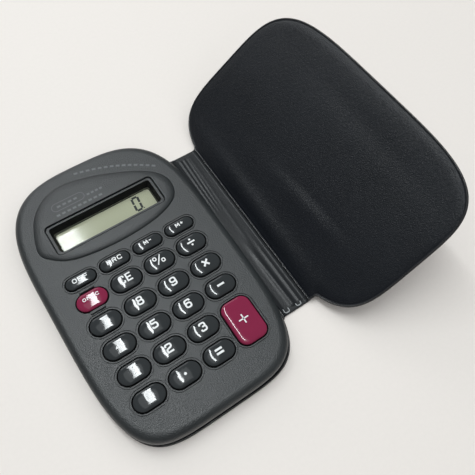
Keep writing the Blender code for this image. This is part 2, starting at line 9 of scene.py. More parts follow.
import bmesh
import bpy
import numpy as np
from mathutils import Matrix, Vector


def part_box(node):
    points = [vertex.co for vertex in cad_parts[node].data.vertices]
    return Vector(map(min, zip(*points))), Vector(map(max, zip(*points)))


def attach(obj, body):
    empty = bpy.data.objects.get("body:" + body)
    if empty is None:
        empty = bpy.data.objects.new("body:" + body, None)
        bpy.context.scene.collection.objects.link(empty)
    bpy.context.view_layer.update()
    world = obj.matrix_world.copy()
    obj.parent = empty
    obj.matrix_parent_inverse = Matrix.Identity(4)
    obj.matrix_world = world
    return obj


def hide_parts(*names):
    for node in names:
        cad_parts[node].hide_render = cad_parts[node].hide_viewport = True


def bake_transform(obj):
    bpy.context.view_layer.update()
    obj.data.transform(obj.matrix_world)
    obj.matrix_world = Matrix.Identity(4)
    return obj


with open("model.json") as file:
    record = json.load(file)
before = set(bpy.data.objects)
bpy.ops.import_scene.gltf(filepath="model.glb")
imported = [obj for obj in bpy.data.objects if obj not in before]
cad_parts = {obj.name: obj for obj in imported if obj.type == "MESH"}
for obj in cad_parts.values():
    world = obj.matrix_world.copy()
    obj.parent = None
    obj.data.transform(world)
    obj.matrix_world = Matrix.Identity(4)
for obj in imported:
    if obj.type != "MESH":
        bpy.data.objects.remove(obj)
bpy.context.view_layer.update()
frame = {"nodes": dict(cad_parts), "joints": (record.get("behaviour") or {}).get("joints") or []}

MM = 0.001


def cad(node):
    """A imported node's two corners, in millimetres."""
    low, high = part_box(node)
    return np.array(low) / MM, np.array(high) / MM


def plan_middle(node):
    """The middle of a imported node's box, seen from above."""
    low, high = cad(node)
    return (high + low)[:2] / 2


# -------------------- sizes that the frame shares

POD_HEIGHT = 1.2
BACK_LOW, BACK_HIGH = cad("back_shell")
FACE_Z = cad("front_shell")[1][2] - POD_HEIGHT
PARTING_Z = BACK_HIGH[2]
BACK_Z = BACK_LOW[2]
CASE_HALF_WIDTH = (BACK_HIGH[0] - BACK_LOW[0]) / 2
CASE_WAIST_Y = 9.5
OUTLINE_POWER = (3.2, 4.8)
CASE_WALL = 1.3
FRONT_PLATE = 1.3
BACK_FLOOR = 1.0
PARTING_GAP = 0.1
EDGE_ROUND_IN = 3.0
EDGE_ROUND_DOWN = 2.4
BACK_EDGE_ROUND = 1.6
KEY_CLEARANCE = 0.35
KEY_FLANGE_OUT = 0.6
KEY_FLANGE_THICK = 0.7
TALL_KEY_RADIUS = 3.3

POD_OUTLINE = ((-28.6, 27.0), (-25.0, 38.6), (-18.7, 45.6), (-10.1, 48.6), (-0.3, 47.2),
               (10.1, 43.6), (19.9, 38.8), (26.1, 33.6), (28.1, 27.4), (25.9, 21.4),
               (19.3, 17.6), (10.3, 15.7), (-0.3, 15.1), (-11.3, 15.8), (-20.2, 17.8), (-26.0, 21.8))
DISPLAY_PLACE = (-0.4, 27.5)
LEDGE_HEIGHT = 0.6
LEDGE_SIZE = (45.1, 13.5)
OPENING_SIZE = (42.2, 10.95)
OPENING_DRAFT = 0.8
OPENING_DEPTH = 2.7
OPENING_WALL = 1.2
OPENING_FLOOR = [side - 2 * OPENING_DRAFT for side in OPENING_SIZE]
GUARD_SIZE = (5.7, 1.0, 0.9)
GUARD_OFFSET_Y = 4.45
SCREW_HEAD_RADIUS = 1.8
SCREW_RADIUS = 0.85
SCREW_REACH = 2.6
SCREW_SLACK = 0.2

SPINE_HALF_LENGTH = 40.7
SKIN = 0.42
LINING = 0.36
LEAF_THICK = 1.5
FLAP_HALF_WIDTH = 35.8
FLAP_HALF_LENGTH = 57.5
FLAP_POWER = 4.3
FLAP_SHIFT_Y = 1.1
FLAP_SKEW_ANGLE = 1.6
COVER_MARGIN = 0.7
COVER_SHIFT_X = 0.8
JOINTS = {joint["name"]: joint for joint in frame["joints"]}


# -------------------- materials

FINE_SHARE = 0.55
NOISE_REACH = 3


def add_node(nodes, kind, **values):
    """A shader node with some of its inputs set; an underscore stands for a space in their names."""
    made = nodes.new("ShaderNode" + kind)
    for name, value in values.items():
        made.inputs[name.replace("_", " ")].default_value = value
    return made


def look(name, color, roughness, grain=3000.0, bump=0.012, spread=0.05, rough_spread=0.04, patch=90.0,
         stretch=(1.0, 1.0, 1.0), turn=0.0, cells=0.0, cell_bump=0.02, metallic=0.0, specular=0.5, alpha=1.0):
    """A moulded or coated surface: fine grain in colour, roughness and bump, over broad soft patches.

    Noise stays near its middle, so its full range reaches NOISE_REACH spreads each way.
    """
    made = bpy.data.materials.new(name)
    made.use_nodes = True
    nodes, link = made.node_tree.nodes, made.node_tree.links.new
    shader = nodes["Principled BSDF"]
    for key, value in (("Metallic", metallic), ("Specular IOR Level", specular), ("Alpha", alpha)):
        shader.inputs[key].default_value = value
    where = nodes.new("ShaderNodeTexCoord")
    place = add_node(nodes, "Mapping", Rotation=(0.0, 0.0, math.radians(turn)), Scale=stretch)
    link(where.outputs["Object"], place.inputs["Vector"])
    fine = add_node(nodes, "TexNoise", Scale=grain, Detail=2.0)
    link(place.outputs["Vector"], fine.inputs["Vector"])
    broad = add_node(nodes, "TexNoise", Scale=patch, Detail=3.0)
    link(where.outputs["Object"], broad.inputs["Vector"])
    both = nodes.new("ShaderNodeMath")
    both.operation = "MULTIPLY_ADD"
    both.inputs[1].default_value = FINE_SHARE
    link(fine.outputs["Fac"], both.inputs[0])
    rest = nodes.new("ShaderNodeMath")
    rest.operation = "MULTIPLY"
    rest.inputs[1].default_value = 1 - FINE_SHARE
    link(broad.outputs["Fac"], rest.inputs[0])
    link(rest.outputs[0], both.inputs[2])
    tint = nodes.new("ShaderNodeMix")
    tint.data_type = "RGBA"
    for end, sign in (("A", -1), ("B", 1)):
        shade = 1 + sign * NOISE_REACH * spread
        tint.inputs[end].default_value = (*[part * shade for part in color], 1.0)
    link(both.outputs[0], tint.inputs["Factor"])
    link(tint.outputs["Result"], shader.inputs["Base Color"])
    rough = add_node(nodes, "MapRange", To_Min=max(roughness - NOISE_REACH * rough_spread, 0.02),
                     To_Max=min(roughness + NOISE_REACH * rough_spread, 1.0))
    link(both.outputs[0], rough.inputs["Value"])
    link(rough.outputs["Result"], shader.inputs["Roughness"])
    if not bump:
        return made
    relief = add_node(nodes, "Bump", Distance=bump * MM)
    link(fine.outputs["Fac"], relief.inputs["Height"])
    if cells:
        pores = add_node(nodes, "TexVoronoi", Scale=cells)
        pores.feature = "DISTANCE_TO_EDGE"
        link(place.outputs["Vector"], pores.inputs["Vector"])
        under = add_node(nodes, "Bump", Distance=cell_bump * MM)
        link(pores.outputs["Distance"], under.inputs["Height"])
        link(under.outputs["Normal"], relief.inputs["Normal"])
    link(relief.outputs["Normal"], shader.inputs["Normal"])
    return made


SHELL = look("shell_plastic", (0.0185, 0.022, 0.0235), 0.4, grain=2500, bump=0.14, spread=0.25, patch=45,
             specular=0.78)
BACK = look("back_plastic", (0.022, 0.0255, 0.027), 0.5, grain=2500, bump=0.12, spread=0.22, patch=45,
            specular=0.7)
KEY = look("key_plastic", (0.030, 0.034, 0.036), 0.07, grain=160, bump=0.0, spread=0.03,
           rough_spread=0.004, patch=200)
MAROON = look("maroon_plastic", (0.225, 0.019, 0.058), 0.07, grain=160, bump=0.0, spread=0.03,
              rough_spread=0.004, patch=200)
INK = look("white_ink", (0.78, 0.80, 0.80), 0.35, grain=5000, bump=0.002, spread=0.03)
GREY_INK = look("grey_ink", (0.135, 0.145, 0.15), 0.5, grain=5000, bump=0.002, spread=0.05)
VINYL = look("outer_vinyl", (0.0075, 0.009, 0.011), 0.34, grain=1500, bump=0.02, spread=0.08, patch=60,
             cells=1100, cell_bump=0.05)
LINER = look("inner_vinyl", (0.0043, 0.0058, 0.0088), 0.38, grain=1100, bump=0.09, spread=0.2, patch=40,
             stretch=(1.0, 2.6, 1.0), turn=28, cells=1500, cell_bump=0.08, specular=0.44)
SPINE = look("spine_vinyl", (0.0105, 0.0125, 0.0145), 0.4, grain=1600, bump=0.05, spread=0.12, patch=80)
BEAD = look("sealed_edge", (0.004, 0.0045, 0.0055), 0.3, grain=300, bump=0.0, spread=0.1, patch=120,
            specular=1.0)
CLEAR = look("clear_acrylic", (0.3, 0.31, 0.31), 0.03, grain=900, bump=0.0002, spread=0.01,
             rough_spread=0.004, alpha=0.04)
LCD = look("lcd_face", (0.445, 0.468, 0.33), 0.1, grain=2500, bump=0.0006, spread=0.02, rough_spread=0.01,
           patch=60, specular=0.4)
DARK_LCD = look("lcd_segment", (0.006, 0.012, 0.013), 0.6, grain=3000, bump=0.001)
# Painted shade: a near-black plastic laid where shade falls, on the key flanges and low key sides, the key
# holes' walls and inside the display's opening and seam.
SHADE_PAINT = look("painted_shade_plastic", (0.006, 0.0065, 0.007), 0.7, grain=600, bump=0.0, specular=0.2)
# Painted highlight: the weld marks are real raised marks, and their light grey stands in for their glints.
WELD_GLINT = look("weld_mark_glint", (0.34, 0.36, 0.37), 0.2, grain=800, bump=0.0, spread=0.2, specular=1.0)
# Painted shade: black foam laid round the cell at the foot of the display opening's wall, where that wall's
# shadow falls.
SHADE_FOAM = look("black_foam_shade", (0.006, 0.006, 0.006), 0.9, grain=4000, bump=0.03)
CARD = look("grey_card", (0.30, 0.28, 0.25), 0.9, grain=1800, bump=0.05, spread=0.1)
STEEL = look("plated_steel", (0.52, 0.52, 0.51), 0.28, grain=1400, bump=0.004, spread=0.05, metallic=1.0,
             stretch=(1.0, 7.0, 1.0))
CELL = look("cell_steel", (0.62, 0.62, 0.60), 0.22, grain=900, bump=0.004, spread=0.04, metallic=1.0)
BOARD = look("board_laminate", (0.022, 0.12, 0.055), 0.38, grain=1300, bump=0.012, spread=0.12, patch=350,
             stretch=(1.0, 6.0, 1.0))
EPOXY = look("chip_epoxy", (0.018, 0.018, 0.019), 0.3, grain=1200, bump=0.02, spread=0.08)
CERAMIC = look("capacitor_ceramic", (0.42, 0.28, 0.16), 0.45, grain=2500, bump=0.01)
SILICONE = look("silicone", (0.44, 0.44, 0.41), 0.62, grain=1500, bump=0.01, spread=0.05)
REFLECTOR = look("reflector_foil", (0.60, 0.62, 0.55), 0.35, grain=5000, bump=0.004)
ZEBRA = look("zebra_rubber", (0.09, 0.09, 0.10), 0.6, grain=2200, bump=0.01, spread=0.3,
             stretch=(6.0, 0.3, 0.3))
PASTE = look("adhesive", (0.55, 0.52, 0.44), 0.75, grain=700, bump=0.04, spread=0.08)

NODE_LOOKS = {
    "display_window": CLEAR, "lcd_glass": LCD, "lcd_reflector": REFLECTOR, "zebra_connector": ZEBRA,
    "circuit_board": BOARD, "controller_chip": EPOXY, "capacitor": CERAMIC, "key_mat": SILICONE,
    "battery": CELL, "battery_contact_negative": STEEL, "battery_contact_positive": STEEL,
    "cover_back_board": CARD, "cover_flap_board": CARD, "adhesive_pad": PASTE,
}
SCREW_NAMES = ["case_screw_%d" % number for number in (1, 2, 3, 4)]
NODE_LOOKS.update((name, STEEL) for name in SCREW_NAMES)
for node, finish in NODE_LOOKS.items():
    for material_slot in frame["nodes"][node].material_slots:
        material_slot.material = finish


# -------------------- outlines

def even_points(path, count):
    """Points spaced evenly along a closed path."""
    return even_line(np.vstack([path, path[:1]]), count + 1)[:-1]


def even_line(path, count):
    """Points spaced evenly along an open path, its ends included."""
    steps = np.concatenate([[0.0], np.cumsum(np.linalg.norm(np.diff(path, axis=0), axis=1))])
    marks = np.linspace(0.0, steps[-1], count)
    return np.stack([np.interp(marks, steps, path[:, k]) for k in range(path.shape[1])], axis=1)


def superellipse(half_width, reach, power, waist_y=0.0, count=192):
    """A squarish oval; reach and power are each a pair, for above and below its waist."""
    angle = np.linspace(0.0, 2 * math.pi, 2880, endpoint=False)
    across, along = np.cos(angle), np.sin(angle)
    reach, power = (np.where(along > 0, *pair) for pair in (reach, power))
    size = (np.abs(across / half_width) ** power + np.abs(along / reach) ** power) ** (-1 / power)
    return even_points(np.stack([across * size, along * size + waist_y], axis=1), count)


def case_outline(margin, count=192):
    return superellipse(CASE_HALF_WIDTH + margin,
                        (BACK_HIGH[1] - CASE_WAIST_Y + margin, CASE_WAIST_Y - BACK_LOW[1] + margin),
                        OUTLINE_POWER, CASE_WAIST_Y, count)


def rounded(size, radius, center=(0.0, 0.0), steps=8):
    """A rounded rectangle; a radius of half its height makes it a stadium."""
    half_x, half_y = size[0] / 2, size[1] / 2
    radius = min(radius, half_x, half_y)
    points = []
    for turn, (sign_x, sign_y) in enumerate(((1, 1), (-1, 1), (-1, -1), (1, -1))):
        middle = (center[0] + sign_x * (half_x - radius), center[1] + sign_y * (half_y - radius))
        for step in range(steps + 1):
            angle = math.radians(90 * turn + 90 * step / steps)
            points.append((middle[0] + radius * math.cos(angle), middle[1] + radius * math.sin(angle)))
    return np.array(points)


def runs_anticlockwise(points):
    ahead = np.roll(points, -1, axis=0)
    return np.sum(points[:, 0] * ahead[:, 1] - ahead[:, 0] * points[:, 1]) > 0


def outward(points):
    """The unit normals of a smooth closed outline."""
    ahead = np.roll(points, -1, axis=0) - np.roll(points, 1, axis=0)
    normal = np.stack([ahead[:, 1], -ahead[:, 0]], axis=1) * (1 if runs_anticlockwise(points) else -1)
    return normal / np.linalg.norm(normal, axis=1)[:, None]


def grown(points, amount):
    """A smooth closed outline moved outwards along its own normals."""
    return points + outward(points) * amount


def smooth_loop(knots, count):
    """A closed Catmull-Rom curve through the knots, anticlockwise, with evenly spaced points."""
    knots = np.array(knots)
    before, after, beyond = np.roll(knots, 1, 0), np.roll(knots, -1, 0), np.roll(knots, -2, 0)
    t = np.linspace(0, 1, 16, endpoint=False)[:, None, None]
    path = 0.5 * (2 * knots + (after - before) * t + (2 * before - 5 * knots + 4 * after - beyond) * t ** 2
                  + (3 * knots - before - 3 * after + beyond) * t ** 3)
    path = path.transpose(1, 0, 2).reshape(-1, 2)
    return even_points(path if runs_anticlockwise(path) else path[::-1], count)


def circle(radius, center=(0.0, 0.0), count=32):
    angle = np.linspace(0.0, 2 * math.pi, count, endpoint=False)
    return np.stack([center[0] + radius * np.cos(angle), center[1] + radius * np.sin(angle)], axis=1)


# -------------------- meshes

def raw(name, points, faces, finish=None):
    """An object from points in millimetres, with its normals turned outwards."""
    mesh = bpy.data.meshes.new(name)
    mesh.from_pydata([tuple(point) for point in np.asarray(points, float) * MM], [], faces)
    work = bmesh.new()
    work.from_mesh(mesh)
    bmesh.ops.recalc_face_normals(work, faces=work.faces)
    work.to_mesh(mesh)
    work.free()
    made = bpy.data.objects.new(name, mesh)
    bpy.context.scene.collection.objects.link(made)
    if finish:
        mesh.materials.append(finish)
    return made


def smooth(made, angle=32.0, weighted=False):
    made.data.shade_smooth()
    made.data.set_sharp_from_angle(angle=math.radians(angle))
    if weighted:
        change = made.modifiers.new("even_normals", "WEIGHTED_NORMAL")
        change.keep_sharp = True
        change.weight = 100
    return made


def raised(outline, height):
    """An outline's points in space, at one height or at a height for each point."""
    return np.column_stack([outline, np.zeros(len(outline)) + height])


def bands(count, here, beyond):
    """The faces that join two rings of equal length, from the numbers of the rings."""
    return [(here * count + at, here * count + (at + 1) % count, beyond * count + (at + 1) % count,
             beyond * count + at) for at in range(count)]


def loft(name, rings, finish=None):
    """A closed solid through rings of equal length, each an (outline, height) or points in space."""
    rings = [ring if isinstance(ring, np.ndarray) else raised(*ring) for ring in rings]
    count, last = len(rings[0]), len(rings) - 1
    faces = [face for here in range(last) for face in bands(count, here, here + 1)]
    faces.append(tuple(reversed(range(count))))
    faces.append(tuple(range(last * count, last * count + count)))
    return raw(name, np.vstack(rings), faces, finish)


def boolean(target, tools, operation):
    """Joins or cuts with every tool, then drops the tools."""
    for tool in tools:
        bpy.context.view_layer.update()
        change = target.modifiers.new("change", "BOOLEAN")
        change.operation = operation
        change.solver = "EXACT"
        change.object = tool
        shaped = bpy.data.meshes.new_from_object(target.evaluated_get(bpy.context.evaluated_depsgraph_get()))
        target.modifiers.clear()
        target.data = shaped
        bpy.data.objects.remove(tool, do_unlink=True)


def ring_solid(name, rings, finish=None):
    """A closed solid like a tyre, with each ring joined to the next and the last to the first."""
    count, total = len(rings[0]), len(rings)
    faces = [face for here in range(total) for face in bands(count, here, (here + 1) % total)]
    return raw(name, np.vstack(rings), faces, finish)


def joined(name, tools, finish=None):
    """One object from several that don't have to touch."""
    work = bmesh.new()
    for tool in tools:
        work.from_mesh(tool.data)
        bpy.data.objects.remove(tool, do_unlink=True)
    mesh = bpy.data.meshes.new(name)
    work.to_mesh(mesh)
    work.free()
    made = bpy.data.objects.new(name, mesh)
    bpy.context.scene.collection.objects.link(made)
    if finish:
        mesh.materials.append(finish)
    return made


def refinish(made, *finishes):
    """Gives a cut piece its materials in place of those that its cutters left."""
    made.data.materials.clear()
    for finish in finishes:
        made.data.materials.append(finish)


def own(made, body, slot, *nodes):
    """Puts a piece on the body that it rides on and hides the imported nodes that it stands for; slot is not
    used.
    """
    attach(made, body)
    if nodes:
        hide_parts(*nodes)
    return made


# -------------------- keys

KEY_NAMES = [name for name in frame["nodes"] if name.startswith("key_") and name != "key_mat"]
POWER_KEY = "key_on_c"
MAROON_KEYS = (POWER_KEY, "key_plus")
KEY_FLANGE_BORDER = KEY_CLEARANCE + KEY_FLANGE_OUT
KEY_SIDE = 0.3
KEY_SHADE = 0.12
KEY_CORNERS = 96


def key_shape(name):
    """A key cap's centre, size, corner radius and top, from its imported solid."""
    low, high = cad(name)
    size = (high - low)[:2] - 2 * KEY_FLANGE_BORDER
    radius = TALL_KEY_RADIUS if size[1] > size[0] else size[1] / 2
    return plan_middle(name), size, radius, high[2]


def key_slot(name):
    return "maroon_key" if name in MAROON_KEYS else "grey_key"


def gauge(points, size, radius):
    """How far out each point is, as a share of the way from the middle to the rounded outline."""
    half = np.array(size) / 2
    radius = min(radius, *half)
    x, y = np.abs(points[:, 0]) + 1e-9, np.abs(points[:, 1]) + 1e-9
    middle = half - radius
    side, end = x / half[0], y / half[1]
    share = np.where(y / side <= middle[1], side, np.where(x / end <= middle[0], end, 0.0))
    a = x ** 2 + y ** 2
    b = -2 * (x * middle[0] + y * middle[1])
    c = middle[0] ** 2 + middle[1] ** 2 - radius ** 2
    corner = 2 * a / (-b + np.sqrt(np.maximum(b ** 2 - 4 * a * c, 0.0)))
    return np.where(share > 0, share, corner)


def crown_height(share, size, top):
    """The height of a key's domed top, from its share of the way out to the key's outline."""
    power, root = (7.0, 0.5) if size[1] > size[0] else (3.2, 0.52)
    side = FACE_Z + KEY_SIDE
    return side + (top - side) * (1 - np.clip(share, 0, 1) ** power) ** root


def key_height(points, name):
    center, size, radius, top = key_shape(name)
    return crown_height(gauge(points - center, size, radius), size, top)


def make_key(name):
    """A key cap whose rings crowd together towards its edge, with painted shade on its flange and low sides.
    """
    center, size, radius, top = key_shape(name)
    foot = cad(name)[0][2]
    outline = even_points(rounded(size, radius, steps=16), KEY_CORNERS)
    flange = rounded(size + 2 * KEY_FLANGE_BORDER, radius + KEY_FLANGE_BORDER, steps=16)
    flange = even_points(flange, KEY_CORNERS)
    flange_top = foot + KEY_FLANGE_THICK
    rings = [(flange + center, foot), (flange + center, flange_top), (outline + center, flange_top),
             (outline + center, FACE_Z - KEY_SHADE), (outline + center, FACE_Z + KEY_SIDE)]
    for share in 1 - np.linspace(0.0, 0.975, 40)[1:] ** 1.9:
        rings.append((outline * share + center, crown_height(share, size, top)))
    made = loft(name + "_cap", rings, MAROON if name in MAROON_KEYS else KEY)
    # The flange and the key's sides below the face get painted shade.
    made.data.materials.append(SHADE_PAINT)
    for face in made.data.polygons:
        if face.center.z < (FACE_Z - KEY_SHADE) * MM:
            face.material_index = 1
    smooth(made, 50)
    own(made, name, key_slot(name), name)


for key_name in KEY_NAMES:
    make_key(key_name)


# -------------------- printed marks

BOX = ((0, 0), (1, 0), (1, 1), (0, 1))
# Each mark's strokes, in a box of 1 by 1: loops and lines have round corners.
GLYPHS = {
    "0": [("loop", BOX)],
    "1": [("sharp", ((0.1, 0.72), (0.55, 1.0), (0.55, 0.0)))],
    "2": [("line", ((0, 0.72), (0, 1), (1, 1), (1, 0.56), (0, 0.4), (0, 0))),
          ("sharp", ((-0.12, 0), (1.1, 0)))],
    "3": [("line", ((0, 0.76), (0, 1), (0.95, 1), (0.95, 0.53), (0.35, 0.53))),
          ("line", ((0.5, 0.53), (1, 0.53), (1, 0), (0, 0), (0, 0.25)))],
    "4": [("sharp", ((0.76, -0.1), (0.76, 1.0), (-0.05, 0.28), (1.12, 0.28)))],
    "5": [("sharp", ((1.0, 1), (0.04, 1), (0.0, 0.55))),
          ("line", ((0, 0.6), (1, 0.6), (1, 0), (0, 0), (0, 0.22)))],
    "6": [("line", ((1, 0.78), (1, 1), (0, 1), (0, 0.3))), ("loop", ((0, 0), (1, 0), (1, 0.58), (0, 0.58)))],
    "7": [("sharp", ((-0.1, 1), (1.0, 1), (0.38, -0.1)))],
    "8": [("loop", ((0.05, 0.53), (0.95, 0.53), (0.95, 1), (0.05, 1))),
          ("loop", ((0, 0), (1, 0), (1, 0.53), (0, 0.53)))],
    "9": [("line", ((0, 0.22), (0, 0), (1, 0), (1, 0.7))), ("loop", ((0, 0.42), (1, 0.42), (1, 1), (0, 1)))],
    "C": [("line", ((1, 0.72), (1, 1), (0, 1), (0, 0), (1, 0), (1, 0.28)))],
    "E": [("sharp", ((1.08, 1), (0, 1), (0, 0), (1.08, 0))), ("sharp", ((0, 0.5), (0.95, 0.5)))],
    "F": [("sharp", ((1.08, 1), (0, 1), (0, -0.1))), ("sharp", ((0, 0.48), (0.9, 0.48)))],
    "M": [("sharp", ((0, -0.1), (0, 1), (0.5, 0.25), (1, 1), (1, -0.1)))],
    "N": [("sharp", ((0, -0.1), (0, 1), (1, 0), (1, 1.1)))],
    "O": [("loop", BOX)],
    "R": [("line", ((0, -0.1), (0, 1), (1, 1), (1, 0.45), (0, 0.45))), ("sharp", ((0.6, 0.45), (1.0, -0.1)))],
    "/": [("sharp", ((0.1, -0.1), (0.9, 1.1)))],
    "+": [("sharp", ((-0.05, 0.5), (1.05, 0.5))), ("sharp", ((0.5, 0), (0.5, 1)))],
    "-": [("sharp", ((0, 0.5), (1, 0.5)))],
    "*": [("sharp", ((0, 0), (1, 1))), ("sharp", ((0, 1), (1, 0)))],
    ":": [("sharp", ((-0.05, 0.5), (1.05, 0.5))), ("dot", (0.5, 0.98)), ("dot", (0.5, 0.02))],
    "=": [("sharp", ((0, 0.76), (1, 0.76))), ("sharp", ((0, 0.24), (1, 0.24)))],
    ".": [("dot", (0.5, 0.5))],
    "%": [("loop", ((-0.15, 0.58), (0.22, 0.58), (0.22, 1), (-0.15, 1))),
          ("sharp", ((0.12, -0.08), (0.88, 1.08))),
          ("loop", ((0.78, 0), (1.15, 0), (1.15, 0.42), (0.78, 0.42)))],
}


STROKE_STEP = 0.35
LEAST_ROUND = 0.05


def softened(points, radius, closed):
    """A path with its corners rounded, sampled closely enough to lie on a curved surface."""
    points = np.array(points, float)
    count = len(points)
    path = []
    for at in range(count):
        here = points[at]
        if not closed and at in (0, count - 1):
            path.append(here)
            continue
        back, ahead = points[at - 1] - here, points[(at + 1) % count] - here
        reach = min(radius, np.linalg.norm(back) / 2, np.linalg.norm(ahead) / 2)
        if reach <= LEAST_ROUND:
            path.append(here)
            continue
        start = here + back / np.linalg.norm(back) * reach
        end = here + ahead / np.linalg.norm(ahead) * reach
        for t in np.linspace(0, 1, 7):
            path.append(start * (1 - t) ** 2 + 2 * here * t * (1 - t) + end * t ** 2)
    if closed:
        path.append(path[0])
    fine = [path[0]]
    for start, end in zip(path, path[1:]):
        steps = max(1, int(np.linalg.norm(end - start) / STROKE_STEP))
        fine += [start + (end - start) * step / steps for step in range(1, steps + 1)]
    kept = [fine[0]] + [b for a, b in zip(fine, fine[1:]) if np.linalg.norm(b - a) > 1e-6]
    return np.array(kept[:-1] if closed else kept)


def ribbon(path, width, closed, height, thick):
    """A raised printed line of a given width that follows a path over the surface height(points)."""
    ahead = np.roll(path, -1, axis=0) - path
    back = path - np.roll(path, 1, axis=0)
    if not closed:
        ahead[-1], back[0] = back[-1], ahead[0]
    ahead /= np.linalg.norm(ahead, axis=1)[:, None]
    back /= np.linalg.norm(back, axis=1)[:, None]
    along = ahead + back
    length = np.linalg.norm(along, axis=1)[:, None]
    along = np.where(length > 1e-6, along / np.maximum(length, 1e-6), ahead)
    normal = np.stack([-along[:, 1], along[:, 0]], axis=1)
    miter = 1 / np.maximum(np.abs(np.sum(along * ahead, axis=1)), 0.45)[:, None]
    left, right = path + normal * miter * width / 2, path - normal * miter * width / 2
    count = len(path)
    points, faces = [], []
    for line, lift in ((left, thick), (right, thick), (left, -thick), (right, -thick)):
        points.append(raised(line, height(line) + lift))
    for at in range(count if closed else count - 1):
        beside = (at + 1) % count
        for low, high in ((0, 1), (1, 3), (3, 2), (2, 0)):
            faces.append((low * count + at, low * count + beside, high * count + beside, high * count + at))
    if not closed:
        for at in (0, count - 1):
            faces.append((at, count + at, 3 * count + at, 2 * count + at))
    return raw("stroke", np.vstack(points), faces)


def dot(place, radius, height, thick, corners=16):
    outline = circle(radius, place, corners)
    return loft("dot", [(outline, height(outline) - thick), (outline, height(outline) + thick)])


def glyph(mark, low, size, width, height, thick=0.02):
    """The strokes of one printed mark, its box from low to low + size."""
    strokes = []
    low, size = np.array(low), np.array(size)
    for kind, shape in GLYPHS[mark]:
        if kind == "dot":
            strokes.append(dot(low + np.array(shape) * size, width * 0.62, height, thick))
            continue
        radius = 0.0 if kind == "sharp" else 0.42 * min(size)
        path = softened([low + np.array(point) * size for point in shape], radius, kind == "loop")
        strokes.append(ribbon(path, width, kind == "loop", height, thick))
    return strokes


# A key's marks, their size, the width of their strokes, the gap between them and the row's place.
SMALL = (1.35, 1.5)
LEGENDS = {
    POWER_KEY: ("ON/C", (1.0, 1.05), 0.3, 0.62, (0.0, 0.9)),
    "key_off": ("OFF", (1.35, 1.45), 0.38, 0.75, (0.0, 0.35)),
    "key_mrc": ("MRC", SMALL, 0.38, 0.75, (0.0, 0.35)),
    "key_m_minus": ("M-", SMALL, 0.38, 0.7, (0.3, 0.45)),
    "key_m_plus": ("M+", SMALL, 0.38, 0.7, (0.3, 0.45)),
    "key_ce": ("CE", (1.75, 2.75), 0.56, 1.05, (-0.1, 0.55)),
    "key_percent": ("%", (3.0, 3.1), 0.44, 1.0, (0.1, 0.5)),
    "key_divide": (":", (2.8, 2.5), 0.66, 1.0, (0.1, 0.35)),
    "key_multiply": ("*", (2.2, 2.3), 0.72, 1.0, (0.2, 0.35)),
    "key_minus": ("-", (2.8, 1.0), 0.78, 1.0, (0.2, 0.3)),
    "key_equals": ("=", (2.8, 2.7), 0.78, 1.0, (0.2, 0.35)),
    "key_point": (".", (1.0, 1.0), 0.82, 1.0, (0.2, 0.1)),
    "key_plus": ("+", (3.5, 3.5), 0.5, 1.0, (0.0, 0.3)),
}
LEGENDS.update(("key_" + digit, (digit, (1.95, 2.8), 0.62, 1.0, (0.1, 0.45))) for digit in "0123456789")
SIGN_SCALE = 0.7


def print_row(marks, size, width, gap, middle, height):
    """A row of marks centred on a point."""
    strokes = []
    sizes = [np.array(size) * (SIGN_SCALE if mark in "+-" and len(marks) > 1 else 1) for mark in marks]
    start = middle[0] - (sum(part[0] for part in sizes) + gap * (len(marks) - 1)) / 2
    for mark, part in zip(marks, sizes):
        strokes += glyph(mark, (start, middle[1] - part[1] / 2), part, width, height)
        start += part[0] + gap
    return strokes


def make_legend(name):
    marks, size, width, gap, shift = LEGENDS[name]
    strokes = print_row(marks, size, width, gap, plan_middle(name) + shift,
                        lambda points: key_height(points, name))
    own(smooth(joined(name + "_legend", strokes, INK)), name, key_slot(name))


for key_name in KEY_NAMES:
    make_legend(key_name)


# -------------------- case

POD = smooth_loop(POD_OUTLINE, 160)
POD_ROUND = 3.9
SCREWS = [plan_middle(name) for name in SCREW_NAMES]
HOLE_ROUND = 0.05
HOLE_SLACK = 0.14
GROOVE_NEAR, GROOVE_FAR, GROOVE_DEPTH = 0.64, 0.9, 0.42
GROOVE_CORNERS = 72
SEAM_WIDTH, SEAM_DEPTH = 0.42, 0.45
WELL_CORNER = 1.8
PARTING_BREAK = 0.12
GUARD_ROUND = 0.25
FRONT_BOSS_RADIUS, BACK_BOSS_RADIUS, PILOT_RADIUS = 2.1, 2.8, 1.05


def edge_rings(inset, top, reach, drop, steps):
    """Rings round an elliptical edge, from the side wall to the flat face; a negative drop runs down."""
    return [(case_outline(-inset - reach * (1 - math.cos(angle))), top - drop * (1 - math.sin(angle)))
            for angle in np.linspace(0, math.pi / 2, steps + 1)]


def round_hole(name, growth):
    """The outline of a key's hole, grown by some amount."""
    center, size, radius, _ = key_shape(name)
    border = KEY_CLEARANCE + growth
    return rounded(size + 2 * border, radius + border, center)


def hole_cutter(name):
    """A key's hole, its upper edge flared into a small round."""
    section = [(0.0, -FRONT_PLATE - 0.5), (0.0, -0.9), (HOLE_SLACK, -0.5)]
    for angle in np.linspace(0, math.pi / 2, 4):
        section.append((HOLE_SLACK + HOLE_ROUND * (1 - math.cos(angle)), -HOLE_ROUND * (1 - math.sin(angle))))
    section.append((HOLE_SLACK + HOLE_ROUND, 0.5))
    return loft("hole", [(round_hole(name, growth), FACE_Z + rise) for growth, rise in section])


def groove_cutter(name):
    """A fine groove that runs round a key's hole."""
    near, far = GROOVE_NEAR, GROOVE_FAR
    section = ((near, 0.4), (near, -0.02), (near + 0.04, -GROOVE_DEPTH), (far - 0.04, -GROOVE_DEPTH),
               (far, -0.02), (far, 0.4))
    return ring_solid("groove", [raised(even_points(round_hole(name, growth), GROOVE_CORNERS), FACE_Z + rise)
                                 for growth, rise in section])


